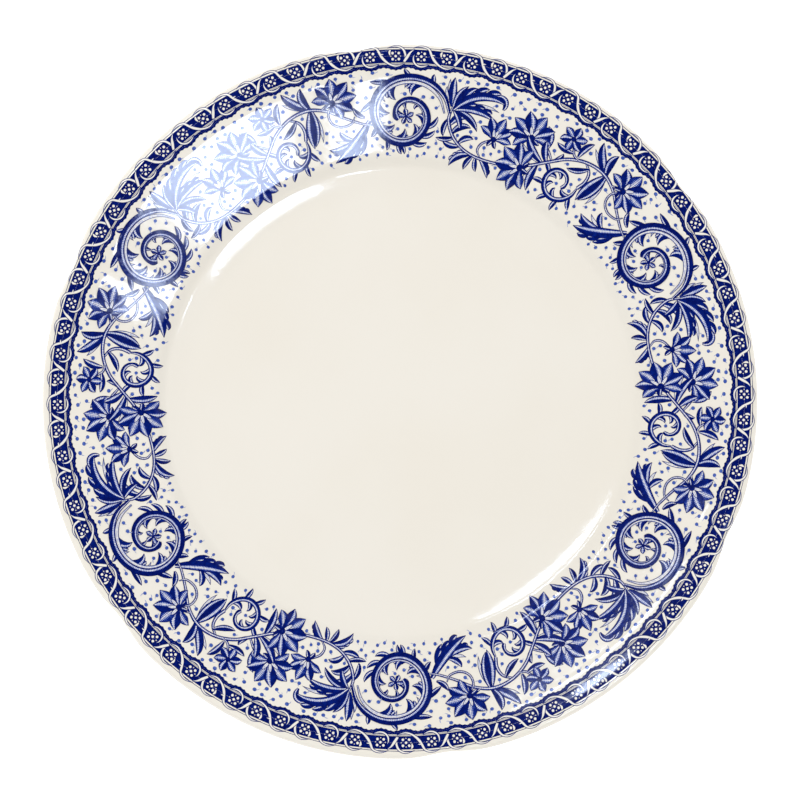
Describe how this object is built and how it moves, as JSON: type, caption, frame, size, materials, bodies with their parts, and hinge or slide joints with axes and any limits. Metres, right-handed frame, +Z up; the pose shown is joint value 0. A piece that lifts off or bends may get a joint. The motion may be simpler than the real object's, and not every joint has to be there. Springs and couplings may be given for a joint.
{
  "type": "dinner plate",
  "caption": "Round glazed china dinner plate with a lobed edge, a flat well, a sloping rim with a blue printed border and a low foot ring.",
  "frame": {"origin": "on the axis, in the plane of the foot ring's bearing edge", "axes": "+Z up along the axis of turning, out of the well; +X and +Y in the plane of the table"},
  "size_m": [0.2698, 0.2698, 0.0224],
  "materials": {
    "fired_clay": "bare fired clay, fine and matt",
    "cream_glaze": "glossy cream glaze",
    "cobalt_print": "cobalt-blue transfer print under the glaze"
  },
  "bodies": {
    "root": {"biscuit_body": "fired_clay", "ribbon_band_print": "cobalt_print", "scroll_print_1": "cobalt_print", "scroll_print_2": "cobalt_print", "scroll_print_3": "cobalt_print", "scroll_print_4": "cobalt_print", "scroll_print_5": "cobalt_print", "scroll_print_6": "cobalt_print", "glaze_coat": "cream_glaze", "foot_recess_glaze": "cream_glaze"}
  },
  "joints": []
}
